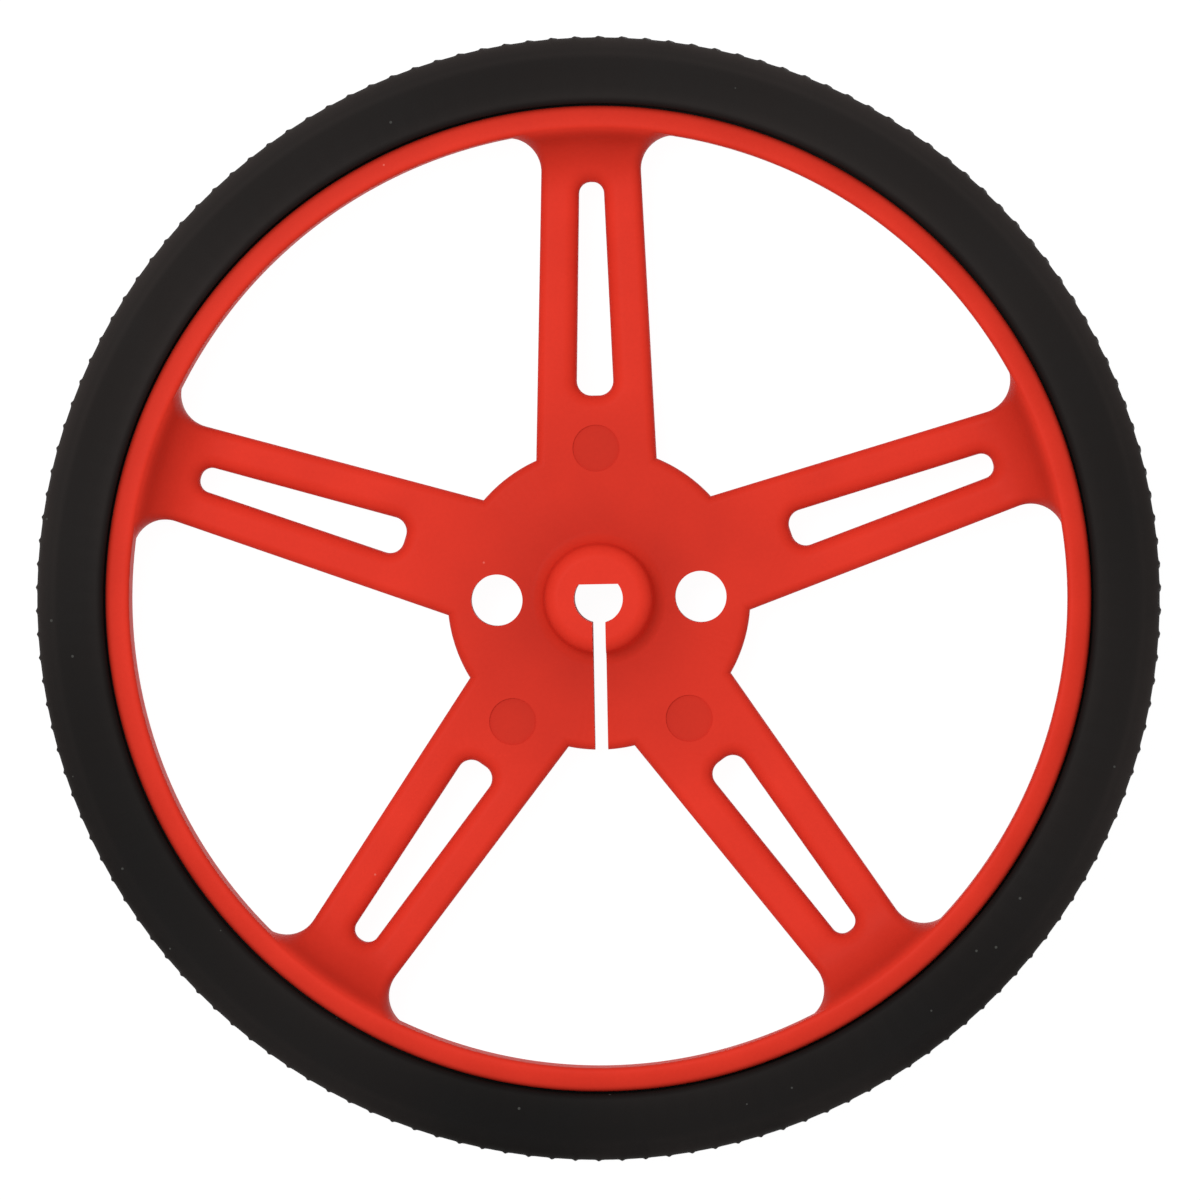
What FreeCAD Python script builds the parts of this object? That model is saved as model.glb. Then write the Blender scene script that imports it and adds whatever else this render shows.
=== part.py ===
# Robot car wheel: a moulded plastic wheel with five slotted spokes, and the ribbed tyre stretched on it.
# It lies flat: its spin axis is Z, the face with the boss looks up, and the origin is its centre.
import FreeCAD, Part
import math
import os
import re

import Sketcher

# Driving dimensions in millimetres, with the draft in degrees
driving_dimensions = [
    ("tyre_diameter", 70.0, "over the ribs of the tread"),
    ("tyre_width", 8.0, "between the two side faces"),
    ("tyre_height", 4.35, "from the rim's outer edge to the ribs' crests"),
    ("tyre_shoulder_chamfer", 0.4, "edges between tread and side faces"),
    ("rib_count", 150, "ribs round the tread"),
    ("rib_height", 0.12, "above the tread"),
    ("rib_width", 0.6, "where it meets the tread"),
    ("rib_inset", 0.1, "from a rib's end to the tyre's shoulder"),
    ("rim_width", 7.6, "between the faces of the flanges"),
    ("rim_thickness", 1.5, "from its outer edge to its inner wall, level with the spokes"),
    ("rim_draft", 0.5, "slope of the rim's inner wall"),
    ("rim_edge_chamfer", 0.2, "outer edges of the flanges"),
    ("channel_width", 5.6, "seat of the tyre between the flanges"),
    ("channel_depth", 0.7, "from the flanges' edge to the seat"),
    ("bead_clearance", 0.03, "between the tyre's bead and the flanges"),
    ("web_thickness", 3.0, "hub disc and spokes"),
    ("window_sink", 0.1, "how far a window's outer arc lies inside the rim's wall"),
    ("hub_diameter", 18.84, "hub disc"),
    ("hub_edge_chamfer", 0.55, "edges of the hub disc"),
    ("spoke_count", 5, "spokes"),
    ("spoke_root_width", 7.48, "where a spoke leaves the hub disc"),
    ("spoke_tip_width", 6.0, "where a spoke reaches the rim"),
    ("spoke_flare_radius", 2.1, "between a spoke's side and the rim"),
    ("spoke_edge_chamfer", 0.35, "edges of the spokes"),
    ("slot_to_hub", 3.21, "from the slot's inner end to the hub disc"),
    ("slot_to_rim", 3.23, "from the slot's outer end to the rim's inner wall"),
    ("slot_inner_width", 2.33, "at the slot's inner end"),
    ("slot_outer_width", 1.52, "at the slot's outer end"),
    ("slot_inner_corner", 0.9, "corners of the slot's inner end"),
    ("slot_outer_corner", 0.72, "corners of the slot's outer end"),
    ("slot_edge_chamfer", 0.4, "edges of the slots"),
    ("boss_diameter", 6.5, "round the shaft bore"),
    ("boss_height", 2.3, "above the hub disc"),
    ("boss_edge_round", 0.6, "top edge of the boss"),
    ("boss_foot_chamfer", 0.3, "between the boss and the hub disc"),
    ("bore_diameter", 3.05, "round part of the D bore"),
    ("bore_flat_distance", 0.9, "from the axis to the flat of the D bore"),
    ("slit_width", 0.82, "from the bore to the edge of the hub disc"),
    ("screw_hole_diameter", 3.2, "clears an M3 screw"),
    ("screw_hole_spacing", 12.7, "between the centres of the two holes"),
    ("mark_diameter", 2.9, "round marks of the mould's ejector pins"),
    ("mark_depth", 0.12, "below the face"),
    ("mark_distance", 9.35, "from the axis"),
]
marked_spokes = [0, 2, 3]  # counted round from the spoke that points along +Y

doc = FreeCAD.newDocument("RobotCarWheel")
sheet = doc.addObject("Spreadsheet::Sheet", "Dimensions")
for row, (alias, number, note) in enumerate(driving_dimensions, 1):
    sheet.set(f"A{row}", alias)
    sheet.set(f"B{row}", str(number))
    sheet.set(f"C{row}", note)
    sheet.setAlias(f"B{row}", alias)
doc.recompute()

# Lengths that follow from the driving dimensions
rim_radius = "(tyre_diameter / 2 - tyre_height)"
seat_radius = f"({rim_radius} - channel_depth)"
wall_radius = f"({rim_radius} - rim_thickness)"
flange_bore = f"({wall_radius} + (rim_width - web_thickness) / 2 * tan(rim_draft * 1 deg))"
window_radius = f"({wall_radius} + window_sink)"
web_radius = f"({window_radius} + window_sink + spoke_edge_chamfer)"
slot_start = "(hub_diameter / 2 + slot_to_hub)"
slot_finish = f"({wall_radius} - slot_to_rim)"
tread_radius = "(tyre_diameter / 2 - rib_height)"
lip_radius = f"({rim_radius} + bead_clearance)"
bead_half = "(channel_width / 2 - bead_clearance)"


def formula(text):
    """The text as an expression, with each driving dimension looked up in the sheet."""
    return re.sub(r"[a-z]+(_[a-z]+)+", r"Dimensions.\g<0>", text)


def value(text):
    result = sheet.evalExpression(formula(text))
    return float(getattr(result, "Value", result))


def bind(feature, **sizes):
    for name, text in sizes.items():
        feature.setExpression(name, formula(text))


def origin_part(body, role):
    return next(part for part in body.Origin.OriginFeatures if part.Role == role)


def new_body(label):
    body = doc.addObject("PartDesign::Body", label)
    body.Label = label
    return body


def new_sketch(body, name, plane="XY_Plane", level=None):
    """An empty sketch on one of the body's origin planes, raised by level."""
    sketch = body.newObject("Sketcher::SketchObject", name)
    sketch.AttachmentSupport = [(origin_part(body, plane), "")]
    sketch.MapMode = "FlatFace"
    if level:
        sketch.setExpression(".AttachmentOffset.Base.z", formula(level))
    return sketch


def constrain(sketch, kind, *references, size=None):
    if size is None:
        sketch.addConstraint(Sketcher.Constraint(kind, *references))
        return
    index = sketch.addConstraint(Sketcher.Constraint(kind, *references, value(size)))
    sketch.setExpression(f"Constraints[{index}]", formula(size))


def place_point(sketch, geometry, point, x=None, y=None):
    """Ties a point of the sketch to the origin by its two coordinates."""
    if x is not None:
        constrain(sketch, "DistanceX", -1, 1, geometry, point, size=x)
    if y is not None:
        constrain(sketch, "DistanceY", -1, 1, geometry, point, size=y)


def add_circle(sketch, x, y, radius):
    centre = FreeCAD.Vector(value(x), value(y), 0)
    circle = sketch.addGeometry(Part.Circle(centre, FreeCAD.Vector(0, 0, 1), value(radius)))
    place_point(sketch, circle, 3, x, y)
    constrain(sketch, "Radius", circle, size=radius)


def add_outline(sketch, corners):
    """A closed outline with straight sides, each corner tied to the origin by its (x, y)."""
    points = [FreeCAD.Vector(value(x), value(y), 0) for x, y in corners]
    ends = zip(points, points[1:] + points[:1])
    lines = [sketch.addGeometry(Part.LineSegment(start, finish)) for start, finish in ends]
    for index, (x, y) in enumerate(corners):
        constrain(sketch, "Coincident", lines[index - 1], 2, lines[index], 1)
        place_point(sketch, lines[index], 1, x, y)


def finish_feature(body, feature):
    body.Tip = feature
    doc.recompute()
    return feature


def add_pad(body, name, sketch, length, centred=False):
    pad = body.newObject("PartDesign::Pad", name)
    pad.Profile = sketch
    pad.SideType = "Symmetric" if centred else "One side"
    bind(pad, Length=length)
    return finish_feature(body, pad)


def add_pocket(body, name, sketch, depth=None):
    """A pocket that goes through everything, or depth deep below the sketch."""
    pocket = body.newObject("PartDesign::Pocket", name)
    pocket.Profile = sketch
    if depth:
        bind(pocket, Length=depth)
    else:
        pocket.Type = "ThroughAll"
        pocket.SideType = "Symmetric"
    return finish_feature(body, pocket)


def add_revolution(body, name, sketch):
    revolution = body.newObject("PartDesign::Revolution", name)
    revolution.Profile = sketch
    revolution.ReferenceAxis = (origin_part(body, "Z_Axis"), [""])
    revolution.Angle = 360
    return finish_feature(body, revolution)


def add_pattern(body, name, feature, count):
    pattern = body.newObject("PartDesign::PolarPattern", name)
    pattern.Originals = [feature]
    pattern.Axis = (origin_part(body, "Z_Axis"), [""])
    pattern.Angle = 360
    bind(pattern, Occurrences=count)
    return finish_feature(body, pattern)


def picked_edges(feature, wanted):
    return [f"Edge{number}" for number, edge in enumerate(feature.Shape.Edges, 1) if wanted(edge)]


def add_fillet(body, name, radius, wanted):
    """A fillet on the edges of the body's last feature that wanted picks."""
    base = body.Tip
    fillet = body.newObject("PartDesign::Fillet", name)
    fillet.Base = (base, picked_edges(base, wanted))
    bind(fillet, Radius=radius)
    return finish_feature(body, fillet)


def add_chamfer(body, name, size, wanted):
    """A chamfer on the edges of the body's last feature that wanted picks."""
    base = body.Tip
    chamfer = body.newObject("PartDesign::Chamfer", name)
    chamfer.Base = (base, picked_edges(base, wanted))
    bind(chamfer, Size=size)
    return finish_feature(body, chamfer)


def from_axis(vertex):
    return math.hypot(vertex.X, vertex.Y)


def upright_at(distance):
    """Picks straight edges along Z that lie this far from the axis."""
    wanted_distance = value(distance)

    def wanted(edge):
        first, last = edge.Vertexes[0], edge.Vertexes[-1]
        upright = math.hypot(first.X - last.X, first.Y - last.Y) < 1e-6 < abs(first.Z - last.Z)
        return upright and abs(from_axis(first) - wanted_distance) < 1e-3

    return wanted


def straight_on_web(nearest, furthest):
    """Picks straight edges of the web's two faces whose ends lie between two distances from the axis."""
    level, low, high = value("web_thickness / 2"), value(nearest), value(furthest)

    def wanted(edge):
        on_face = all(abs(abs(vertex.Z) - level) < 1e-6 for vertex in edge.Vertexes)
        between = all(low < from_axis(vertex) < high for vertex in edge.Vertexes)
        return on_face and between and isinstance(edge.Curve, Part.Line)

    return wanted


def circle_at(*places):
    """Picks full circles by their radius and level."""
    wanted_places = [(value(radius), value(level)) for radius, level in places]

    def wanted(edge):
        if not isinstance(edge.Curve, Part.Circle) or len(edge.Vertexes) > 1:
            return False
        radius, level = edge.Curve.Radius, edge.Curve.Center.z
        return any(abs(radius - a) < 1e-6 and abs(level - b) < 1e-6 for a, b in wanted_places)

    return wanted


def window_outline(sketch):
    """The gap between two spokes, with its point under the hub disc and its outer arc inside the rim."""
    half_pitch = "180 deg / spoke_count"
    root = f"({half_pitch} - asin(spoke_root_width / hub_diameter))"
    tip = f"({half_pitch} - asin(spoke_tip_width / 2 / {window_radius}))"
    root_x, root_y = f"hub_diameter / 2 * sin({root})", f"hub_diameter / 2 * cos({root})"
    tip_x, tip_y = f"{window_radius} * sin({tip})", f"{window_radius} * cos({tip})"
    point_y = f"({root_y} - {root_x} * ({tip_y} - {root_y}) / ({tip_x} - {root_x}))"
    point = FreeCAD.Vector(0, -value(point_y), 0)
    right = FreeCAD.Vector(value(tip_x), -value(tip_y), 0)
    left = FreeCAD.Vector(-value(tip_x), -value(tip_y), 0)
    bottom = FreeCAD.Vector(0, -value(window_radius), 0)
    right_side = sketch.addGeometry(Part.LineSegment(point, right))
    left_side = sketch.addGeometry(Part.LineSegment(left, point))
    arc = sketch.addGeometry(Part.Arc(left, bottom, right))
    constrain(sketch, "Coincident", arc, 3, -1, 1)
    constrain(sketch, "Radius", arc, size=window_radius)
    constrain(sketch, "Coincident", arc, 1, left_side, 1)
    constrain(sketch, "Coincident", arc, 2, right_side, 2)
    constrain(sketch, "Coincident", left_side, 2, right_side, 1)
    place_point(sketch, right_side, 1, "0", f"-{point_y}")
    place_point(sketch, right_side, 2, x=tip_x)
    place_point(sketch, left_side, 1, x=f"-{tip_x}")


def bore_outline(sketch):
    """A circle cut off by a flat towards +Y."""
    radius, flat = value("bore_diameter / 2"), value("bore_flat_distance")
    half_flat = math.sqrt(radius**2 - flat**2)
    left, right = FreeCAD.Vector(-half_flat, flat, 0), FreeCAD.Vector(half_flat, flat, 0)
    arc = sketch.addGeometry(Part.Arc(left, FreeCAD.Vector(0, -radius, 0), right))
    line = sketch.addGeometry(Part.LineSegment(right, left))
    constrain(sketch, "Coincident", arc, 3, -1, 1)
    constrain(sketch, "Radius", arc, size="bore_diameter / 2")
    constrain(sketch, "Coincident", arc, 2, line, 1)
    constrain(sketch, "Coincident", line, 2, arc, 1)
    constrain(sketch, "Horizontal", line)
    place_point(sketch, line, 1, y="bore_flat_distance")


def make_web(body):
    """Spokes and hub disc: a disc with windows and slots cut from it, and a rounded disc in the middle."""
    sketch = new_sketch(body, "WebDisc")
    add_circle(sketch, "0", "0", web_radius)
    add_pad(body, "Web", sketch, "web_thickness", centred=True)

    sketch = new_sketch(body, "WindowOutline")
    window_outline(sketch)
    window = add_pocket(body, "Window", sketch)
    add_pattern(body, "Windows", window, "spoke_count")
    add_fillet(body, "SpokeFlares", "spoke_flare_radius", upright_at(window_radius))
    add_chamfer(body, "SpokeEdges", "spoke_edge_chamfer", straight_on_web("0", window_radius))

    sketch = new_sketch(body, "SlotOutline")
    inner, outer = "slot_inner_width / 2", "slot_outer_width / 2"
    add_outline(
        sketch,
        [
            (f"-{inner}", slot_start),
            (inner, slot_start),
            (outer, slot_finish),
            (f"-{outer}", slot_finish),
        ],
    )
    slot = add_pocket(body, "Slot", sketch)
    add_pattern(body, "Slots", slot, "spoke_count")
    inner_corner = f"sqrt({slot_start} ^ 2 + slot_inner_width ^ 2 / 4)"
    outer_corner = f"sqrt({slot_finish} ^ 2 + slot_outer_width ^ 2 / 4)"
    add_fillet(body, "SlotInnerEnds", "slot_inner_corner", upright_at(inner_corner))
    add_fillet(body, "SlotOuterEnds", "slot_outer_corner", upright_at(outer_corner))
    add_chamfer(body, "SlotEdges", "slot_edge_chamfer", straight_on_web(slot_start, slot_finish))

    sketch = new_sketch(body, "HubProfile", "XZ_Plane")
    face, edge = "web_thickness / 2", "hub_diameter / 2"
    inset_edge, inset_face = f"({edge} - hub_edge_chamfer)", f"({face} - hub_edge_chamfer)"
    add_outline(
        sketch,
        [
            ("0", f"-{face}"),
            (inset_edge, f"-{face}"),
            (edge, f"-{inset_face}"),
            (edge, inset_face),
            (inset_edge, face),
            ("0", face),
        ],
    )
    add_revolution(body, "HubDisc", sketch)


def make_rim(body):
    """The ring that carries the tyre: two flanges with a channel between them and a drafted inner wall."""
    sketch = new_sketch(body, "RimProfile", "XZ_Plane")
    level, face, channel = "web_thickness / 2", "rim_width / 2", "channel_width / 2"
    add_outline(
        sketch,
        [
            (wall_radius, f"-{level}"),
            (flange_bore, f"-{face}"),
            (rim_radius, f"-{face}"),
            (rim_radius, f"-{channel}"),
            (seat_radius, f"-{channel}"),
            (seat_radius, channel),
            (rim_radius, channel),
            (rim_radius, face),
            (flange_bore, face),
            (wall_radius, level),
        ],
    )
    add_revolution(body, "Rim", sketch)
    edges = [(rim_radius, face), (rim_radius, f"-{face}")]
    add_chamfer(body, "RimEdges", "rim_edge_chamfer", circle_at(*edges))


def make_boss(body):
    """The boss, the D bore for the shaft, and the slit that lets the bore open and grip."""
    face = "web_thickness / 2"
    sketch = new_sketch(body, "BossOutline", level=face)
    add_circle(sketch, "0", "0", "boss_diameter / 2")
    add_pad(body, "Boss", sketch, "boss_height")
    top = f"{face} + boss_height"
    add_fillet(body, "BossTop", "boss_edge_round", circle_at(("boss_diameter / 2", top)))
    add_chamfer(body, "BossFoot", "boss_foot_chamfer", circle_at(("boss_diameter / 2", face)))

    sketch = new_sketch(body, "BoreOutline")
    bore_outline(sketch)
    add_pocket(body, "ShaftBore", sketch)

    sketch = new_sketch(body, "SlitOutline")
    side, past_disc = "slit_width / 2", "(hub_diameter / 2 + slit_width)"
    add_outline(
        sketch,
        [
            (f"-{side}", "0"),
            (f"-{side}", f"-{past_disc}"),
            (side, f"-{past_disc}"),
            (side, "0"),
        ],
    )
    add_pocket(body, "Slit", sketch)


def make_holes(body):
    """Two screw holes beside the boss, and the round marks that the ejector pins left."""
    sketch = new_sketch(body, "ScrewHoleCircles")
    for side in ("", "-"):
        add_circle(sketch, f"{side}screw_hole_spacing / 2", "0", "screw_hole_diameter / 2")
    add_pocket(body, "ScrewHoles", sketch)

    sketch = new_sketch(body, "MarkCircles", level="web_thickness / 2")
    for spoke in marked_spokes:
        turn = f"({spoke} * 360 deg / spoke_count)"
        x, y = f"mark_distance * sin({turn})", f"mark_distance * cos({turn})"
        add_circle(sketch, x, y, "mark_diameter / 2")
    add_pocket(body, "EjectorMarks", sketch, depth="mark_depth")


def make_wheel_moulding():
    body = new_body("wheel_moulding")
    make_web(body)
    make_rim(body)
    make_boss(body)
    make_holes(body)
    return body


def make_tyre():
    """A ring with a bead that fills the rim's channel, and low ribs across the tread."""
    body = new_body("tyre")
    sketch = new_sketch(body, "TyreProfile", "XZ_Plane")
    side = "tyre_width / 2"
    add_outline(
        sketch,
        [
            (seat_radius, f"-{bead_half}"),
            (lip_radius, f"-{bead_half}"),
            (lip_radius, f"-{side}"),
            (tread_radius, f"-{side}"),
            (tread_radius, side),
            (lip_radius, side),
            (lip_radius, bead_half),
            (seat_radius, bead_half),
        ],
    )
    add_revolution(body, "TyreRing", sketch)
    shoulders = [(tread_radius, side), (tread_radius, f"-{side}")]
    add_chamfer(body, "TyreShoulders", "tyre_shoulder_chamfer", circle_at(*shoulders))

    sketch = new_sketch(body, "RibOutline")
    add_outline(
        sketch,
        [
            (f"{tread_radius} - rib_height", "-rib_width"),
            ("tyre_diameter / 2", "0"),
            (f"{tread_radius} - rib_height", "rib_width"),
        ],
    )
    length = "tyre_width - 2 * (tyre_shoulder_chamfer + rib_inset)"
    rib = add_pad(body, "Rib", sketch, length, centred=True)
    add_pattern(body, "Ribs", rib, "rib_count")
    return body


def check_document():
    """Stops if any feature failed or any sub-part isn't one valid solid."""
    for item in doc.Objects:
        if {"Invalid", "Error"} & set(item.State):
            raise RuntimeError(f"{item.Label} didn't build: {item.State}")
    for body in bodies:
        shape = body.Shape
        if shape.isNull() or not shape.isValid() or len(shape.Solids) != 1:
            raise RuntimeError(f"{body.Label} isn't one valid solid")


bodies = [make_wheel_moulding(), make_tyre()]
check_document()
os.makedirs("parts", exist_ok=True)
for body in bodies:
    body.Shape.exportStep(f"parts/{body.Label}.step")
    box = body.Shape.BoundBox
    print(f"{body.Label}: {body.Shape.Volume:.1f} mm3, {box.XLength:.2f} x {box.YLength:.2f} x {box.ZLength:.2f} mm")
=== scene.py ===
# Robot car wheel: a red moulding with five slotted spokes, and the black ribbed tyre on it.
# It lies flat with its boss up, and the camera looks straight down on it.
import math

import bmesh
import bpy
import numpy as np
from mathutils import Matrix, Vector
from mathutils.geometry import delaunay_2d_cdt


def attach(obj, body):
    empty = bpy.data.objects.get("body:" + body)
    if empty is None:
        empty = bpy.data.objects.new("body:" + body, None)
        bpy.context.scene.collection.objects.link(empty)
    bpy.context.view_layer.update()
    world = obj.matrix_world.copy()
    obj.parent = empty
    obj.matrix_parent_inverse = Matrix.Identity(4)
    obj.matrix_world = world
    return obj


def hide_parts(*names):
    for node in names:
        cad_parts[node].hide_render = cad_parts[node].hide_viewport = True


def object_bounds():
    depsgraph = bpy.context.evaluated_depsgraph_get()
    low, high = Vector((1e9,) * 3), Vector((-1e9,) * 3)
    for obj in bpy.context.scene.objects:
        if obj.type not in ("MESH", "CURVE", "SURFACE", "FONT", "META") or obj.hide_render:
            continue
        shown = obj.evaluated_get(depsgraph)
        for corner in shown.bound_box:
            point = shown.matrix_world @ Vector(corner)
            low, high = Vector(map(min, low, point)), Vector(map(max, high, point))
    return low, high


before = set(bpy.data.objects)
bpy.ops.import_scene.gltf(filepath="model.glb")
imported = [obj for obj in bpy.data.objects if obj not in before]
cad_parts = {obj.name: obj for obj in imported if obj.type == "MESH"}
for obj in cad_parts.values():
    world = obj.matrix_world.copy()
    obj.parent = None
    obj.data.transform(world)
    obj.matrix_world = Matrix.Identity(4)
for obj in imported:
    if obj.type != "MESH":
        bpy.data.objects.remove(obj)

scene = bpy.context.scene
mm = 0.001
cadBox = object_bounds()
print("frame loaded:", sorted(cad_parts))


# Mesh helpers. Outlines are lists of (x, y) in millimetres, anticlockwise.

def arcPoints(centre, radius, start, finish, steps):
    angles = np.radians(np.linspace(start, finish, steps + 1))
    return [(centre[0] + radius * math.cos(a), centre[1] + radius * math.sin(a)) for a in angles]


def linePoints(start, finish, spacing):
    # the end point is left to the next stretch
    steps = max(1, round(math.dist(start, finish) / spacing))
    return [tuple(np.array(start) + (np.array(finish) - np.array(start)) * i / steps) for i in range(steps)]


def cornerRound(before, corner, after, radius):
    # centre and both ends of the arc that rounds a corner
    here = np.array(corner)
    toLast, toNext = np.array(before) - here, np.array(after) - here
    toLast, toNext = toLast / np.linalg.norm(toLast), toNext / np.linalg.norm(toNext)
    half = math.acos(np.clip(np.dot(toLast, toNext), -1, 1)) / 2
    bisector = (toLast + toNext) / np.linalg.norm(toLast + toNext)
    centre = here + bisector * radius / math.sin(half)
    return centre, here + toLast * radius / math.tan(half), here + toNext * radius / math.tan(half)


def roundedPolygon(corners, radii, steps, spacing):
    count = len(corners)
    arcs = []
    for i in range(count):
        centre, first, last = cornerRound(corners[i - 1], corners[i], corners[(i + 1) % count], radii[i])
        startAngle = math.degrees(math.atan2(*(first - centre)[::-1]))
        sweep = (math.degrees(math.atan2(*(last - centre)[::-1])) - startAngle) % 360
        arcs.append(arcPoints(centre, radii[i], startAngle, startAngle + sweep, steps))
    outline = []
    for i in range(count):
        outline += arcs[i][:-1]
        outline += linePoints(arcs[i][-1], arcs[(i + 1) % count][0], spacing)
    return outline


def turned(outline, degrees):
    c, s = math.cos(math.radians(degrees)), math.sin(math.radians(degrees))
    return [(x * c - y * s, x * s + y * c) for x, y in outline]


def offsetOutline(outline, distance):
    # moves an anticlockwise outline outwards by distance
    points = np.array(outline)
    along = np.roll(points, -1, axis=0) - points
    along /= np.linalg.norm(along, axis=1)[:, None]
    outward = np.stack([along[:, 1], -along[:, 0]], axis=1)
    before = np.roll(outward, 1, axis=0)
    corner = outward + before
    corner /= (1 + np.sum(outward * before, axis=1))[:, None]
    return points + corner * distance


def insideOutline(points, outline):
    # which points lie inside the outline, by counting its crossings to their right
    inside = np.zeros(len(points), bool)
    for (x0, y0), (x1, y1) in zip(outline, outline[1:] + outline[:1]):
        if y0 == y1:
            continue
        crosses = (points[:, 1] < y0) != (points[:, 1] < y1)
        inside ^= crosses & (points[:, 0] < x0 + (points[:, 1] - y0) * (x1 - x0) / (y1 - y0))
    return inside


def addPiece(name, verts, faces):
    mesh = bpy.data.meshes.new(name)
    mesh.from_pydata([(x * mm, y * mm, z * mm) for x, y, z in verts], [], faces)
    mesh.validate()
    mesh.update()
    piece = bpy.data.objects.new(name, mesh)
    scene.collection.objects.link(piece)
    return piece


def evenAngles(count):
    return np.arange(count) * 2 * math.pi / count


def latheMesh(profile, angles, radiusAt=None):
    # turns a closed profile of (r, z) in millimetres; radiusAt(r, z, angle) may move a point in or out
    count = len(angles)
    verts = []
    for r, z in profile:
        for a in angles:
            reach = radiusAt(r, z, a) if radiusAt else r
            verts.append((reach * math.cos(a), reach * math.sin(a), z))
    faces = []
    for ring in range(len(profile)):
        low, high = ring * count, (ring + 1) % len(profile) * count
        for i in range(count):
            j = (i + 1) % count
            faces.append([low + i, low + j, high + j, high + i])
    return verts, faces


def roundedProfile(corners, steps):
    # corners of a lathe profile: (r, z) stays sharp, (r, z, radius) gets a round
    profile = []
    count = len(corners)
    for i, corner in enumerate(corners):
        if len(corner) == 2:
            profile.append(corner)
            continue
        radius = corner[2]
        before, after = corners[i - 1][:2], corners[(i + 1) % count][:2]
        centre, first, last = cornerRound(before, corner[:2], after, radius)
        startAngle = math.atan2(*(first - centre)[::-1])
        sweep = (math.atan2(*(last - centre)[::-1]) - startAngle + math.pi) % (2 * math.pi) - math.pi
        for k in range(steps + 1):
            a = startAngle + sweep * k / steps
            profile.append((centre[0] + radius * math.cos(a), centre[1] + radius * math.sin(a)))
    return profile


class CubicCurve:
    # a smooth curve through points, with the slope at each taken from its neighbours
    def __init__(self, x, y):
        self.x, self.y = np.array(x), np.array(y)
        self.slope = np.gradient(self.y, self.x)
        self.slope[0] = 0

    def __call__(self, place):
        if place <= self.x[0]:
            return float(self.y[0])
        k = min(int(np.searchsorted(self.x, place)), len(self.x) - 1)
        step = self.x[k] - self.x[k - 1]
        t = min((place - self.x[k - 1]) / step, 1)
        start, finish = self.y[k - 1], self.y[k]
        first, last = self.slope[k - 1] * step, self.slope[k] * step
        return float(
            start * (1 + 2 * t) * (1 - t) ** 2 + finish * t * t * (3 - 2 * t)
            + first * t * (1 - t) ** 2 + last * t * t * (t - 1)
        )


def applied(piece):
    # the piece with its modifiers worked into its mesh
    graph = bpy.context.evaluated_depsgraph_get()
    mesh = bpy.data.meshes.new_from_object(piece.evaluated_get(graph))
    piece.modifiers.clear()
    piece.data = mesh
    return piece


def combine(piece, other, operation):
    cut = piece.modifiers.new(operation.lower(), "BOOLEAN")
    cut.operation = operation
    cut.solver = "EXACT"
    cut.object = other
    applied(piece)
    bpy.data.objects.remove(other)
    return piece


def cleanMesh(piece, weld, sliver):
    # joins the points that the cuts left on top of each other
    mesh = bmesh.new()
    mesh.from_mesh(piece.data)
    bmesh.ops.remove_doubles(mesh, verts=mesh.verts, dist=weld * mm)
    bmesh.ops.dissolve_degenerate(mesh, edges=mesh.edges, dist=sliver * mm)
    mesh.to_mesh(piece.data)
    mesh.free()


def finishShading(piece, sharpAngle):
    piece.data.shade_smooth()
    piece.data.set_sharp_from_angle(angle=math.radians(sharpAngle))
    flat = piece.modifiers.new("flatFaces", "WEIGHTED_NORMAL")
    flat.keep_sharp = True
    flat.weight = 60
    return piece


# The red moulding: web with windows and slots, hub disc with its boss, and rim, made into one solid.

moulding = {
    "rimRadius": 30.65, "seatRadius": 29.95, "wallRadius": 29.15, "draft": 0.5,
    "rimHalf": 3.8, "channelHalf": 2.8, "rimInnerRound": 0.3,
    "crownRadius": 29.62, "crownRound": 1.6, "rimShoulder": 3.6, "shoulderRound": 0.4,
    "webHalf": 1.5, "webRadius": 29.9, "windowOverlap": 0.1,
    # distance from the axis, and how far the web's face has risen there on its way up to the rim's face
    "sweep": [
        (25.6, 0), (26.0, 0.02), (26.4, 0.07), (26.8, 0.16), (27.2, 0.30), (27.6, 0.50), (28.0, 0.78),
        (28.3, 1.06), (28.6, 1.43), (28.8, 1.71), (28.95, 1.91), (29.05, 2.03), (29.15, 2.13), (29.25, 2.21),
        (29.35, 2.265), (29.45, 2.28), (29.55, 2.2), (29.9, 1.7),
    ],
    # extra points that let the web bend there: rings, points across a spoke, and the strip left to the slot
    "sweepEnd": 29.8, "sweepRings": 36, "sweepAcross": 21, "sweepHalf": 3, "slotStrip": 1.8,
    "hubRadius": 9.42, "spokeRoot": 7.48, "spokeTip": 6.0, "flare": 2.1,
    "spokeEdge": 0.58, "slotEdge": 0.85, "slotStart": 12.63, "slotFinish": 25.92,
    "slotInner": 2.33, "slotOuter": 1.52, "slotInnerCorner": 0.9, "slotOuterCorner": 0.72,
    "bossRadius": 3.4, "bossDraft": 0.12, "bossTop": 3.8, "bossEdge": 0.9, "bossFoot": 0.8,
    "boreRadius": 1.525, "boreFlat": 0.9, "slitHalf": 0.41,
    "screwRadius": 1.6, "screwAt": 6.35, "markRadius": 1.45, "markDepth": 0.12, "markAt": 9.35,
    "markTaper": 0.1,
    "spokeAngles": [90, 162, 234, 306, 18], "markAngles": [90, 234, 306],
    "spacing": 1.0, "arcSteps": 10, "edgeSteps": 6, "bossSteps": 8, "rimSteps": 5, "boreSteps": 24,
    "windowRimSteps": 60, "windowHubSteps": 24, "webSegments": 240, "bossSegments": 120, "rimSegments": 288,
    "holeSegments": 64, "weld": 0.003, "sliver": 0.001, "sharpAngle": 32,
}


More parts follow.
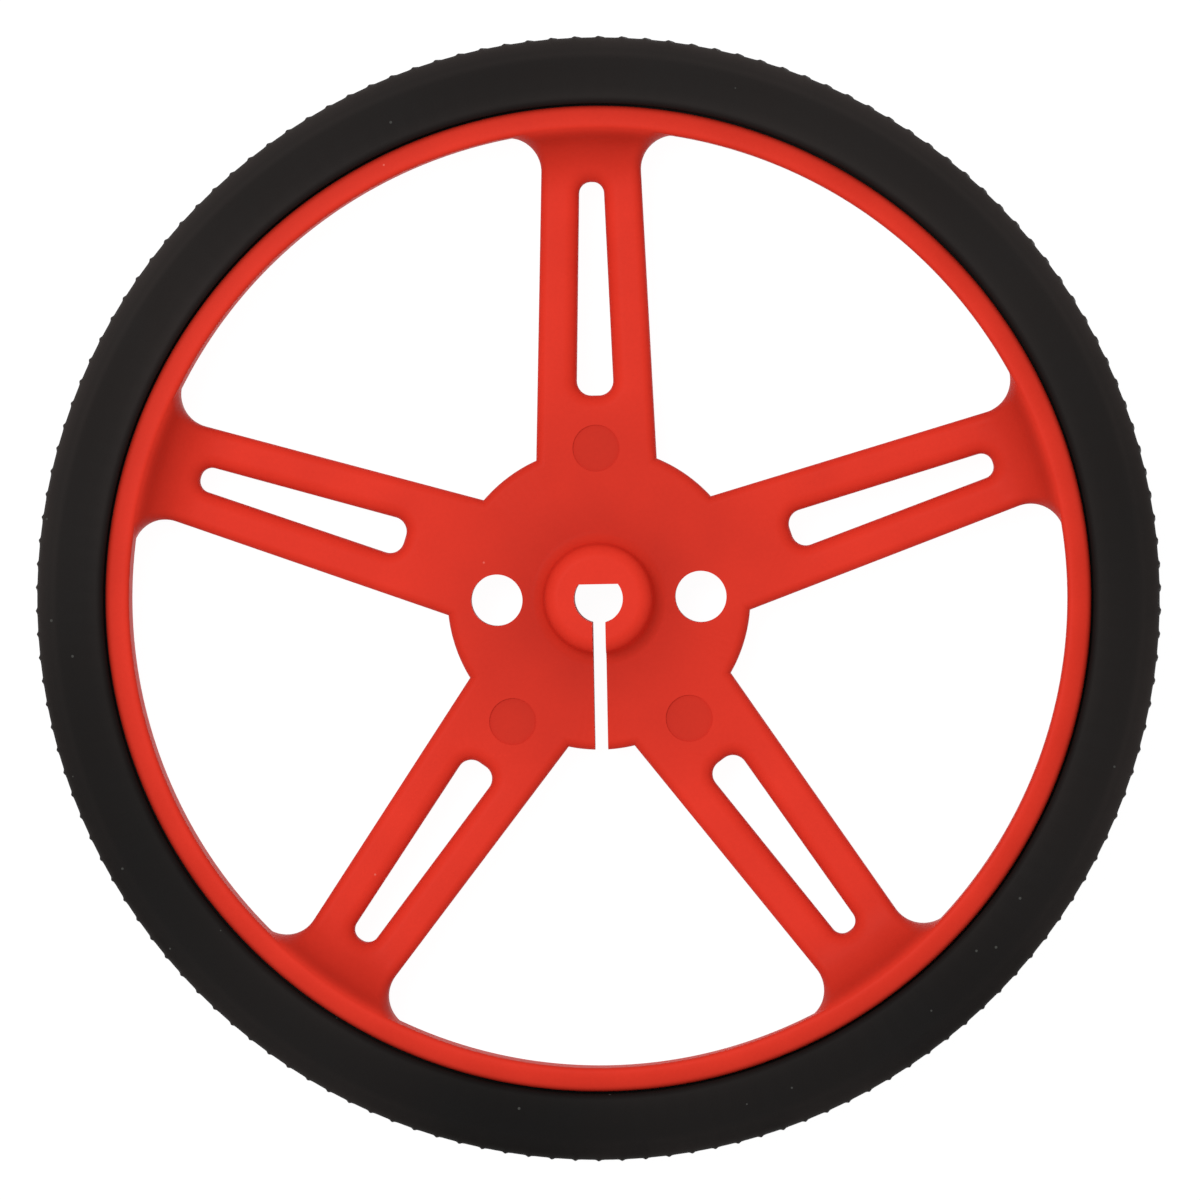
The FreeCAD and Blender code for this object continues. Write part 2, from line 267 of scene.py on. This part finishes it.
def windowOutline(m):
    # the gap between two spokes, with its middle on +X, from the hub disc to the rim's wall
    outer = m["wallRadius"] + m["windowOverlap"]
    rootAngle = math.radians(36) - math.asin(m["spokeRoot"] / 2 / m["hubRadius"])
    tipAngle = math.radians(36) - math.asin(m["spokeTip"] / 2 / outer)
    root = np.array([math.cos(rootAngle), math.sin(rootAngle)]) * m["hubRadius"]
    tip = np.array([math.cos(tipAngle), math.sin(tipAngle)]) * outer
    along = (tip - root) / np.linalg.norm(tip - root)
    inward = np.array([along[1], -along[0]])
    # the flare's circle touches the spoke's side and the outer arc
    base = root + inward * m["flare"]
    b, c = np.dot(base, along), np.dot(base, base) - (outer - m["flare"]) ** 2
    centre = base + along * (-b + math.sqrt(b * b - c))
    onSide = centre - inward * m["flare"]
    sideAngle = math.degrees(math.atan2(*(onSide - centre)[::-1]))
    rimAngle = math.degrees(math.atan2(*centre[::-1]))
    steps = m["arcSteps"] * 2
    upper = arcPoints(centre, m["flare"], rimAngle, sideAngle, steps)
    lower = [(x, -y) for x, y in upper[::-1]]
    hubAngle = math.degrees(rootAngle)
    hubEnd = (root[0], -root[1])
    outline = linePoints(hubEnd, lower[0], m["spacing"]) + lower[:-1]
    outline += arcPoints((0, 0), outer, -rimAngle, rimAngle, m["windowRimSteps"])[:-1]
    outline += upper[:-1] + linePoints(upper[-1], tuple(root), m["spacing"])
    outline += arcPoints((0, 0), m["hubRadius"], hubAngle, -hubAngle, m["windowHubSteps"])[:-1]
    return outline


def slotOutline(m):
    inner, outer = m["slotInner"] / 2, m["slotOuter"] / 2
    start, finish = m["slotStart"], m["slotFinish"]
    corners = [(start, -inner), (finish, -outer), (finish, outer), (start, inner)]
    radii = [m["slotInnerCorner"], m["slotOuterCorner"], m["slotOuterCorner"], m["slotInnerCorner"]]
    return roundedPolygon(corners, radii, m["arcSteps"], m["spacing"])


def fillBetween(verts, rings, inner, z):
    # faces of a flat side at z: inside the first ring, outside the others, and through the inner points
    flatPoints, edges, source = [], [], []
    for ring in rings:
        start = len(flatPoints)
        flatPoints += [Vector(verts[v][:2]) for v in ring]
        source += ring
        edges += [(start + i, start + (i + 1) % len(ring)) for i in range(len(ring))]
    extra = len(flatPoints)
    flatPoints += [Vector(p) for p in inner]
    places, _, cells, origins = delaunay_2d_cdt(flatPoints, edges, [], 0, 1e-6)[:4]
    cuts = [[verts[v][:2] for v in ring] for ring in rings[1:]]
    middles = np.array([np.mean([places[v] for v in cell], axis=0) for cell in cells])
    holed = np.any([insideOutline(middles, cut) for cut in cuts], axis=0)
    lookup = []
    for place, origin in zip(places, origins):
        known = [o for o in origin if o < extra]
        if known:
            lookup.append(source[known[0]])
        else:
            lookup.append(len(verts))
            verts.append((place.x, place.y, z))
    return [[lookup[v] for v in cell] for cell, isOpen in zip(cells, holed) if not isOpen]


def plateWithHoles(outline, holes, half, steps, inner, crown):
    # holes are (outline, edge radius); the edge radius rounds both of the hole's edges
    # crown holds the rings of a boss on the upper face as (outline, z), from round its foot to its top
    verts, faces = [], []

    def addRing(points, z):
        start = len(verts)
        verts.extend((x, y, z) for x, y in points)
        return list(range(start, start + len(points)))

    def addWall(low, high, flip):
        for i in range(len(low)):
            j = (i + 1) % len(low)
            quad = [low[i], low[j], high[j], high[i]]
            faces.append(quad[::-1] if flip else quad)

    lowRings, highRings = [addRing(outline, -half)], [addRing(outline, half)]
    addWall(lowRings[0], highRings[0], False)
    turns = [math.pi / 2 * k / steps for k in range(steps + 1)]
    for points, edge in holes:
        levels = [(edge * (1 - math.cos(t)), half - edge + edge * math.sin(t)) for t in turns]
        stack = [addRing(offsetOutline(points, out), -z) for out, z in levels[::-1]]
        stack += [addRing(offsetOutline(points, out), z) for out, z in levels]
        for low, high in zip(stack, stack[1:]):
            addWall(low, high, True)
        lowRings.append(stack[0])
        highRings.append(stack[-1])
    stack = [addRing(points, z) for points, z in crown]
    for low, high in zip(stack, stack[1:]):
        addWall(low, high, False)
    faces.append(stack[-1])
    highRings.append(stack[0])
    faces += [face[::-1] for face in fillBetween(verts, lowRings, inner, -half)]
    faces += fillBetween(verts, highRings, inner, half)
    return verts, faces


def prism(name, outline, low, high, taper=0):
    # taper is how much wider, in millimetres, the prism is at its top
    count = len(outline)
    verts = [(x, y, low) for x, y in outline]
    verts += [(x, y, high) for x, y in (offsetOutline(outline, taper) if taper else outline)]
    faces = [list(range(count))[::-1], list(range(count, 2 * count))]
    faces += [[i, (i + 1) % count, count + (i + 1) % count, count + i] for i in range(count)]
    return addPiece(name, verts, faces)


def circle(centre, radius, segments):
    return arcPoints(centre, radius, 0, 360, segments)[:-1]


def sweepPoints(m):
    # points inside the web where the spokes' ends bend, clear of the slots
    points = []
    for angle in m["spokeAngles"]:
        for r in np.linspace(m["sweep"][0][0], m["sweepEnd"], m["sweepRings"]):
            for across in np.linspace(-m["sweepHalf"], m["sweepHalf"], m["sweepAcross"]):
                if r > m["slotFinish"] + m["slotEdge"] or abs(across) > m["slotStrip"]:
                    points.append(tuple(turned([(math.sqrt(r * r - across * across), across)], angle)[0]))
    return points


def makeWeb(m):
    # hub disc with its boss, spokes with their slots, and their ends swept up to the rim
    windows = [(turned(windowOutline(m), a + 36), m["spokeEdge"]) for a in m["spokeAngles"]]
    slots = [(turned(slotOutline(m), a), m["slotEdge"]) for a in m["spokeAngles"]]
    outline = circle((0, 0), m["webRadius"], m["webSegments"])
    foot, top = m["bossRadius"] + m["bossDraft"], m["bossRadius"] - m["bossDraft"]
    bossProfile = roundedProfile([
        (foot + m["bossFoot"], m["webHalf"]), (foot, m["webHalf"], m["bossFoot"]),
        (top, m["bossTop"], m["bossEdge"]), (0, m["bossTop"]),
    ], m["bossSteps"])[1:-1]
    boss = [(circle((0, 0), r, m["bossSegments"]), z) for r, z in bossProfile]
    verts, faces = plateWithHoles(
        outline, windows + slots, m["webHalf"], m["edgeSteps"], sweepPoints(m), boss,
    )
    rise = CubicCurve(*np.array(m["sweep"]).T)
    lifted = [(x, y, z + rise(math.hypot(x, y)) * z / m["webHalf"]) for x, y, z in verts]
    return addPiece("wheelMoulding", lifted, faces)


def makeRim(m):
    # a channel for the tyre's bead outside, a drafted wall inside, and crowned faces
    flange = m["wallRadius"] + (m["rimHalf"] - m["webHalf"]) * math.tan(math.radians(m["draft"]))
    upper = [
        (m["seatRadius"], m["channelHalf"]),
        (m["rimRadius"], m["channelHalf"]),
        (m["rimRadius"], m["rimShoulder"], m["shoulderRound"]),
        (m["crownRadius"], m["rimHalf"], m["crownRound"]),
        (flange, m["rimHalf"], m["rimInnerRound"]),
        (m["wallRadius"], m["webHalf"]),
    ]
    lower = [(corner[0], -corner[1], *corner[2:]) for corner in upper[::-1]]
    profile = roundedProfile(upper + lower, m["rimSteps"])
    return addPiece("rim", *latheMesh(profile, evenAngles(m["rimSegments"])))


def boreOutline(m):
    # a D with its flat towards +Y, open below into the slit
    r, s, end = m["boreRadius"], m["slitHalf"], -m["hubRadius"] - 1
    a, b = math.degrees(math.asin(m["boreFlat"] / r)), math.degrees(math.asin(s / r))
    outline = arcPoints((0, 0), r, 180 - a, 270 - b, m["boreSteps"])
    outline += [(-s, end), (s, end)]
    return outline + arcPoints((0, 0), r, 270 + b, 360 + a, m["boreSteps"])


def makeMoulding(m):
    piece = makeWeb(m)
    print("web and boss:", len(piece.data.polygons), "faces")
    combine(piece, makeRim(m), "UNION")
    print("rim joined:", len(piece.data.polygons), "faces")
    through = 2 * m["webHalf"]
    combine(piece, prism("bore", boreOutline(m), -through, m["bossTop"] + 1), "DIFFERENCE")
    for side in (-1, 1):
        hole = circle((side * m["screwAt"], 0), m["screwRadius"], m["holeSegments"])
        combine(piece, prism("screwHole", hole, -through, through), "DIFFERENCE")
    for angle in m["markAngles"]:
        mark = circle(turned([(m["markAt"], 0)], angle)[0], m["markRadius"], m["holeSegments"])
        floor = m["webHalf"] - m["markDepth"]
        combine(piece, prism("mark", mark, floor, through, m["markTaper"]), "DIFFERENCE")
    cleanMesh(piece, m["weld"], m["sliver"])
    print("moulding:", len(piece.data.polygons), "faces")
    return finishShading(piece, m["sharpAngle"])


wheelMoulding = makeMoulding(moulding)


# The tyre: a ring with a bead in the rim's channel and fine ribs across its tread.

tyre = {
    "radius": 35.0, "half": 4.0, "lip": 0.5, "lipRadius": 30.79, "seatRadius": 29.95,
    "sideBend": 33.75, "sideRound": 1.5, "shoulderHalf": 3.86, "shoulder": 0.7,
    "beadHalf": 2.77, "ribs": 150, "ribHeight": 0.1, "ribSpread": 0.18, "slant": 0.2,
    "ribFade": 0.6,  # share of the shoulder's round over which the ribs fade out
    "columns": [-0.5, -0.34, -0.2, -0.13, -0.08, -0.04, 0.0, 0.04, 0.08, 0.13, 0.2, 0.34],
    "roundSteps": 6, "treadRings": 6, "sharpAngle": 40,
}


def makeTyre(t):
    tread = t["radius"] - t["ribHeight"]
    profile = roundedProfile([
        (t["lipRadius"], -t["beadHalf"]), (t["lipRadius"], -t["half"], t["lip"]),
        (t["sideBend"], -t["half"], t["sideRound"]), (tread, -t["shoulderHalf"], t["shoulder"]),
        (tread, t["shoulderHalf"], t["shoulder"]), (t["sideBend"], t["half"], t["sideRound"]),
        (t["lipRadius"], t["half"], t["lip"]), (t["lipRadius"], t["beadHalf"]),
        (t["seatRadius"], t["beadHalf"]), (t["seatRadius"], -t["beadHalf"]),
    ], t["roundSteps"])
    # more rings across the tread
    dense = []
    for (r0, z0), (r1, z1) in zip(profile, profile[1:] + profile[:1]):
        steps = t["treadRings"] if abs(r0 - tread) < 1e-6 and abs(r1 - tread) < 1e-6 else 1
        dense += [(r0 + (r1 - r0) * k / steps, z0 + (z1 - z0) * k / steps) for k in range(steps)]
    pitch = 2 * math.pi / t["ribs"]
    angles = [(rib + share) * pitch for rib in range(t["ribs"]) for share in t["columns"]]

    def radiusAt(r, z, angle):
        if r < tread - t["shoulder"]:
            return r
        ribEnd = t["shoulder"] * t["ribFade"]
        fade = min(1.0, max(0.0, (r - (tread - ribEnd)) / ribEnd))
        share = (angle / pitch - t["slant"] * z / t["half"] / 2 + 0.5) % 1 - 0.5
        return r + t["ribHeight"] * fade * math.exp(-(share / t["ribSpread"] * 2) ** 2)

    piece = addPiece("tyreRubber", *latheMesh(dense, angles, radiusAt))
    print("tyre:", len(piece.data.polygons), "faces")
    return finishShading(piece, t["sharpAngle"])


tyreRubber = makeTyre(tyre)


# Shader nodes, and the groups that both materials use.

def newGroup(name, inputs, outputs):
    group = bpy.data.node_groups.new(name, "ShaderNodeTree")
    for label, kind, default in inputs:
        socket = group.interface.new_socket(label, in_out="INPUT", socket_type=kind)
        if default is not None:
            socket.default_value = default
    for label, kind in outputs:
        group.interface.new_socket(label, in_out="OUTPUT", socket_type=kind)
    start = group.nodes.new("NodeGroupInput")
    end = group.nodes.new("NodeGroupOutput")
    return group, start, end


def addNode(tree, kind, **settings):
    node = tree.nodes.new(kind)
    for key, content in settings.items():
        if key.startswith("in_"):
            name = key[3:]
            node.inputs[int(name) if name.isdigit() else name.replace("_", " ")].default_value = content
        else:
            setattr(node, key, content)
    return node


def addGroup(tree, group, **values):
    node = addNode(tree, "ShaderNodeGroup", node_tree=group)
    for label, content in values.items():
        node.inputs[label.replace("_", " ")].default_value = content
    return node


def addMath(tree, operation, first, second):
    node = addNode(tree, "ShaderNodeMath", operation=operation)
    tree.links.new(first, node.inputs[0])
    tree.links.new(second, node.inputs[1])
    return node.outputs[0]


def addRange(tree, source, low, high, atLow, atHigh):
    node = addNode(
        tree, "ShaderNodeMapRange", in_From_Min=low, in_From_Max=high, in_To_Min=atLow, in_To_Max=atHigh,
    )
    tree.links.new(source, node.inputs["Value"])
    return node.outputs["Result"]


def buildSkinGrain():
    # fine uneven skin of a moulded or pressed part: a tone from 0 to 1 and a height
    group, start, end = newGroup(
        "skinGrain",
        [("Fine Scale", "NodeSocketFloat", 3000.0), ("Broad Scale", "NodeSocketFloat", 150.0)],
        [("Tone", "NodeSocketFloat"), ("Height", "NodeSocketFloat")],
    )
    place = addNode(group, "ShaderNodeTexCoord")
    fine = addNode(group, "ShaderNodeTexNoise", in_Detail=3.0, in_Roughness=0.6)
    broad = addNode(group, "ShaderNodeTexNoise", in_Detail=2.0, in_Roughness=0.5)
    for texture, label in ((fine, "Fine Scale"), (broad, "Broad Scale")):
        group.links.new(place.outputs["Object"], texture.inputs["Vector"])
        group.links.new(start.outputs[label], texture.inputs["Scale"])
    mix = addNode(group, "ShaderNodeMath", operation="MULTIPLY_ADD", in_1=0.3)
    group.links.new(fine.outputs["Fac"], mix.inputs[0])
    share = addNode(group, "ShaderNodeMath", operation="MULTIPLY", in_1=0.7)
    group.links.new(broad.outputs["Fac"], share.inputs[0])
    group.links.new(share.outputs[0], mix.inputs[2])
    group.links.new(mix.outputs[0], end.inputs["Tone"])
    group.links.new(fine.outputs["Fac"], end.inputs["Height"])
    return group


def buildDust():
    # sparse pale specks
    group, start, end = newGroup(
        "dustSpecks",
        [
            ("Scale", "NodeSocketFloat", 400.0),
            ("Size", "NodeSocketFloat", 0.1),
            ("Share", "NodeSocketFloat", 0.1),
        ],
        [("Mask", "NodeSocketFloat")],
    )
    place = addNode(group, "ShaderNodeTexCoord")
    cells = addNode(group, "ShaderNodeTexVoronoi")
    group.links.new(place.outputs["Object"], cells.inputs["Vector"])
    group.links.new(start.outputs["Scale"], cells.inputs["Scale"])
    parts = addNode(group, "ShaderNodeSeparateColor")
    group.links.new(cells.outputs["Color"], parts.inputs["Color"])
    near = addMath(group, "LESS_THAN", cells.outputs["Distance"], start.outputs["Size"])
    few = addMath(group, "LESS_THAN", parts.outputs["Red"], start.outputs["Share"])
    group.links.new(addMath(group, "MULTIPLY", near, few), end.inputs["Mask"])
    return group


def buildSpinPlace():
    # a point's distance from the spin axis as a share of Span, its height, and its place across
    group, start, end = newGroup(
        "spinPlace",
        [("Span", "NodeSocketFloat", 0.035)],
        [("Share", "NodeSocketFloat"), ("Height", "NodeSocketFloat"), ("Across", "NodeSocketVector")],
    )
    place = addNode(group, "ShaderNodeTexCoord")
    flat = addNode(group, "ShaderNodeVectorMath", operation="MULTIPLY", in_1=(1, 1, 0))
    group.links.new(place.outputs["Object"], flat.inputs[0])
    reach = addNode(group, "ShaderNodeVectorMath", operation="LENGTH")
    group.links.new(flat.outputs[0], reach.inputs[0])
    share = addMath(group, "DIVIDE", reach.outputs["Value"], start.outputs["Span"])
    axes = addNode(group, "ShaderNodeSeparateXYZ")
    group.links.new(place.outputs["Object"], axes.inputs[0])
    group.links.new(share, end.inputs["Share"])
    group.links.new(axes.outputs["Z"], end.inputs["Height"])
    group.links.new(flat.outputs[0], end.inputs["Across"])
    return group


skinGrain = buildSkinGrain()
dustSpecks = buildDust()
spinPlace = buildSpinPlace()

noiseSpan = (0.3, 0.7)  # nearly all of a noise's values lie between these
grainDepth = 0.05 * mm

plasticLook = {
    "deep": (0.685, 0.0325, 0.0165, 1), "bright": (0.775, 0.0395, 0.0205, 1), "dust": (0.78, 0.12, 0.09, 1),
    "roughness": (0.45, 0.55), "specular": 0.05, "bump": 0.06,
    "fineScale": 4000.0, "broadScale": 200.0,
    "dustScale": 700.0, "dustSize": 0.05, "dustShare": 0.04,
    # painted light and shade by radius: darker round the boss's foot, over the hub plate, at the spokes' ends
    # and towards the rim's edge, a touch lighter on the boss's top: (radius, tone)
    "span": 30.7,
    "skinTone": [
        (2.6, 1.03), (3.3, 1.0), (3.7, 0.84), (4.1, 0.77), (5.0, 0.79), (6.0, 0.83), (7.0, 0.865),
        (9.0, 0.90), (11.0, 0.94), (13.0, 0.98), (16.0, 1.0), (24.0, 1.0), (25.6, 0.95), (26.5, 0.89),
        (27.2, 0.83), (28.0, 0.78),
        (28.7, 0.72), (28.95, 0.79), (29.2, 0.93), (29.4, 0.98), (29.8, 0.94), (30.2, 0.89), (30.4, 0.83),
        (30.55, 0.72), (30.7, 0.6),
    ],
    "markTone": 0.9,
    "markSoftness": (0.1, 0.05),  # how far the mark's tone fades inside and outside its edge
}
rubberLook = {
    "deep": (0.0020, 0.0015, 0.0013, 1), "bright": (0.0130, 0.0104, 0.0096, 1),
    "dust": (0.05, 0.05, 0.046, 1),
    "roughness": (0.6, 0.75), "specular": 0.1, "bump": 0.25,
    "fineScale": 2500.0, "broadScale": 200.0,
    "dustScale": 700.0, "dustSize": 0.06, "dustShare": 0.4,
    # painted light and shade by radius: darker in the crevice by the rim, painted highlights along the lip
    # and towards the tread's edge: (radius, tone)
    "span": 35.0,
    "skinTone": [
        (30.9, 0.7), (31.05, 1.1), (31.2, 1.6), (31.4, 1.4), (31.9, 1.1), (33.0, 0.95), (33.6, 1.0),
        (33.9, 1.5), (34.2, 1.45), (34.5, 1.9), (34.8, 2.6), (35.0, 3.0),
    ],
    # pale bloom in broad patches, and painted light that makes the tyre lighter towards +Y
    "bloomScale": 35.0, "bloomShare": 0.6, "bloomSlope": 0.45,
}


def paintRadialLight(tree, look, place):
    # painted light and shade by distance from the spin axis; a ramp holds no tone above 1, so it is scaled by
    # the highest
    top = max(tone for _, tone in look["skinTone"])
    ramp = addNode(tree, "ShaderNodeValToRGB")
    stops = ramp.color_ramp.elements
    for i, (radius, tone) in enumerate(look["skinTone"]):
        stop = stops[i] if i < 2 else stops.new(radius / look["span"])
        stop.position = radius / look["span"]
        stop.color = (tone / top, tone / top, tone / top, 1)
    tree.links.new(place.outputs["Share"], ramp.inputs["Fac"])
    scaled = addNode(tree, "ShaderNodeMath", operation="MULTIPLY", in_1=top)
    tree.links.new(ramp.outputs["Color"], scaled.inputs[0])
    return scaled.outputs[0]


def makeSurface(name, look, addDetail):
    # addDetail gives what is special to the material: the colour's tone, and a shade on top of it, which
    # carries the painted light and shade by radius
    material = bpy.data.materials.new(name)
    material.use_nodes = True
    tree = material.node_tree
    shader = tree.nodes["Principled BSDF"]
    shader.inputs["Specular IOR Level"].default_value = look["specular"]
    grain = addGroup(tree, skinGrain, Fine_Scale=look["fineScale"], Broad_Scale=look["broadScale"])
    dust = addGroup(tree, dustSpecks, Scale=look["dustScale"], Size=look["dustSize"], Share=look["dustShare"])
    place = addGroup(tree, spinPlace, Span=look["span"] * mm)
    even = addRange(tree, grain.outputs["Tone"], *noiseSpan, 0.0, 1.0)
    # the radial factor paints light and shade into the base colour
    tone, shade = addDetail(tree, look, place, even, paintRadialLight(tree, look, place))
    colour = addNode(tree, "ShaderNodeMix", data_type="RGBA", in_6=look["deep"], in_7=look["bright"])
    tree.links.new(tone, colour.inputs["Factor"])
    shaded = addNode(tree, "ShaderNodeVectorMath", operation="SCALE")
    tree.links.new(colour.outputs[2], shaded.inputs[0])
    tree.links.new(shade, shaded.inputs["Scale"])
    dusty = addNode(tree, "ShaderNodeMix", data_type="RGBA", in_7=look["dust"])
    tree.links.new(dust.outputs["Mask"], dusty.inputs["Factor"])
    tree.links.new(shaded.outputs[0], dusty.inputs[6])
    tree.links.new(dusty.outputs[2], shader.inputs["Base Color"])
    rough = addRange(tree, grain.outputs["Tone"], *noiseSpan, *look["roughness"])
    tree.links.new(rough, shader.inputs["Roughness"])
    bump = addNode(tree, "ShaderNodeBump", in_Strength=look["bump"], in_Distance=grainDepth)
    tree.links.new(grain.outputs["Height"], bump.inputs["Height"])
    tree.links.new(bump.outputs["Normal"], shader.inputs["Normal"])
    return material


def plasticDetail(tree, look, place, even, shade):
    # slightly darker ejector marks, on the front alone
    away = []
    for angle in moulding["markAngles"]:
        x, y = turned([(moulding["markAt"] * mm, 0)], angle)[0]
        node = addNode(tree, "ShaderNodeVectorMath", operation="DISTANCE", in_1=(x, y, 0))
        tree.links.new(place.outputs["Across"], node.inputs[0])
        away.append(node.outputs["Value"])
    nearest = addMath(tree, "MINIMUM", addMath(tree, "MINIMUM", away[0], away[1]), away[2])
    edge, (inside, outside) = moulding["markRadius"], look["markSoftness"]
    mark = addRange(tree, nearest, (edge - inside) * mm, (edge + outside) * mm, look["markTone"], 1.0)
    back = addRange(tree, place.outputs["Height"], 0.0, mm, 1.0, 0.0)
    return even, addMath(tree, "MULTIPLY", shade, addMath(tree, "MAXIMUM", mark, back))


def rubberDetail(tree, look, place, even, shade):
    # broad patches of bloom laid over the fine mottling, with painted light rising towards +Y
    patches = addNode(tree, "ShaderNodeTexNoise", in_Scale=look["bloomScale"], in_Detail=1.0)
    tree.links.new(place.outputs["Across"], patches.inputs["Vector"])
    axes = addNode(tree, "ShaderNodeSeparateXYZ")
    tree.links.new(place.outputs["Across"], axes.inputs[0])
    radius, slope = tyre["radius"] * mm, look["bloomSlope"]
    # painted light: the tyre grows lighter towards +Y
    paintedLightRise = addRange(tree, axes.outputs["Y"], -radius, radius, -slope, slope)
    bloom = addMath(tree, "ADD", addRange(tree, patches.outputs["Fac"], *noiseSpan, 0.0, 1.0), paintedLightRise)
    tone = addNode(tree, "ShaderNodeMix", data_type="FLOAT", in_0=look["bloomShare"])
    tree.links.new(even, tone.inputs[2])
    tree.links.new(bloom, tone.inputs[3])
    return tone.outputs[0], shade


wheelMoulding.data.materials.append(makeSurface("redPlastic", plasticLook, plasticDetail))
tyreRubber.data.materials.append(makeSurface("blackRubber", rubberLook, rubberDetail))
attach(wheelMoulding, "root")
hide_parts("wheel_moulding")
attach(tyreRubber, "root")
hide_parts("tyre")
print("pieces dressed")


# Floor, light and camera

stageLook = {
    "floorSize": 3.0, "floorColour": (0.82, 0.82, 0.82, 1), "shadowShare": 0.12, "floorGlow": 1.1,
    "worldStrength": 0.58,
    "keyPlace": (-0.165, 0.139, 0.666), "keySize": 0.3, "keyPower": 2.3,
}


def showsBackdrop(tree):
    # 1 for camera, glossy and transmission rays
    path = addNode(tree, "ShaderNodeLightPath")
    seen = addMath(tree, "MAXIMUM", path.outputs["Is Camera Ray"], path.outputs["Is Glossy Ray"])
    return addMath(tree, "MAXIMUM", seen, path.outputs["Is Transmission Ray"])


def makeFloor(s):
    bpy.ops.mesh.primitive_plane_add(size=s["floorSize"], location=(0, 0, cadBox[0].z))
    floor = bpy.context.object
    floor.name = "floor"
    material = bpy.data.materials.new("floorPaper")
    material.use_nodes = True
    tree = material.node_tree
    tree.nodes.remove(tree.nodes["Principled BSDF"])
    matt = addNode(tree, "ShaderNodeBsdfDiffuse", in_Color=s["floorColour"])
    glow = addNode(tree, "ShaderNodeEmission", in_Strength=s["floorGlow"])
    share = addNode(tree, "ShaderNodeMath", operation="MULTIPLY", in_1=1 - s["shadowShare"])
    tree.links.new(showsBackdrop(tree), share.inputs[0])
    mix = addNode(tree, "ShaderNodeMixShader")
    tree.links.new(share.outputs[0], mix.inputs["Fac"])
    tree.links.new(matt.outputs[0], mix.inputs[1])
    tree.links.new(glow.outputs[0], mix.inputs[2])
    tree.links.new(mix.outputs[0], tree.nodes["Material Output"].inputs["Surface"])
    floor.data.materials.append(material)


def makeLight(s):
    world = bpy.data.worlds.new("studio")
    scene.world = world
    world.use_nodes = True
    tree = world.node_tree
    background = tree.nodes["Background"]
    background.inputs["Color"].default_value = (1, 1, 1, 1)
    strength = addNode(tree, "ShaderNodeMapRange", in_To_Min=s["worldStrength"], in_To_Max=1.0)
    tree.links.new(showsBackdrop(tree), strength.inputs["Value"])
    tree.links.new(strength.outputs["Result"], background.inputs["Strength"])
    data = bpy.data.lights.new("keyLight", "AREA")
    data.shape = "DISK"
    data.size = s["keySize"]
    data.energy = s["keyPower"]
    lamp = bpy.data.objects.new("keyLight", data)
    lamp.location = s["keyPlace"]
    lamp.rotation_euler = (-Vector(s["keyPlace"])).to_track_quat("-Z", "Y").to_euler()
    scene.collection.objects.link(lamp)


cameraLook = {
    "distance": 2.0,  # from the spokes' face
    "pixelsPerMm": 16.07, "imageSize": 1200,
    "centreAt": (598.75, 598.45),  # where the spin axis meets the spokes' face in the picture
    "turn": 1.06,  # degrees that the wheel is turned anticlockwise in the picture
    "tilt": (0.014, 0.008),  # slope of the line of sight, to the right and up
    "sensor": 36, "clip": (0.01, 20),
}


def makeCamera(c):
    size, scale = c["imageSize"], c["pixelsPerMm"] / mm
    turn = Matrix.Rotation(math.radians(-c["turn"]), 3, "Z")
    back = Vector((c["tilt"][0], c["tilt"][1], 1)).normalized()
    right = Vector((0, 1, 0)).cross(back).normalized()
    up = back.cross(right)
    aim = right * (size / 2 - c["centreAt"][0]) / scale + up * (c["centreAt"][1] - size / 2) / scale
    aim.z += moulding["webHalf"] * mm
    place = aim + back * c["distance"]
    axes = Matrix((turn @ right, turn @ up, turn @ back)).transposed()
    data = bpy.data.cameras.new("camera")
    data.sensor_width = c["sensor"]
    data.lens = data.sensor_width * c["distance"] / (size / scale)
    data.clip_start, data.clip_end = c["clip"]
    camera = bpy.data.objects.new("camera", data)
    camera.matrix_world = Matrix.Translation(turn @ place) @ axes.to_4x4()
    scene.collection.objects.link(camera)
    scene.camera = camera


makeFloor(stageLook)
makeLight(stageLook)
makeCamera(cameraLook)
scene.view_settings.view_transform = "Standard"

print("scene ready")
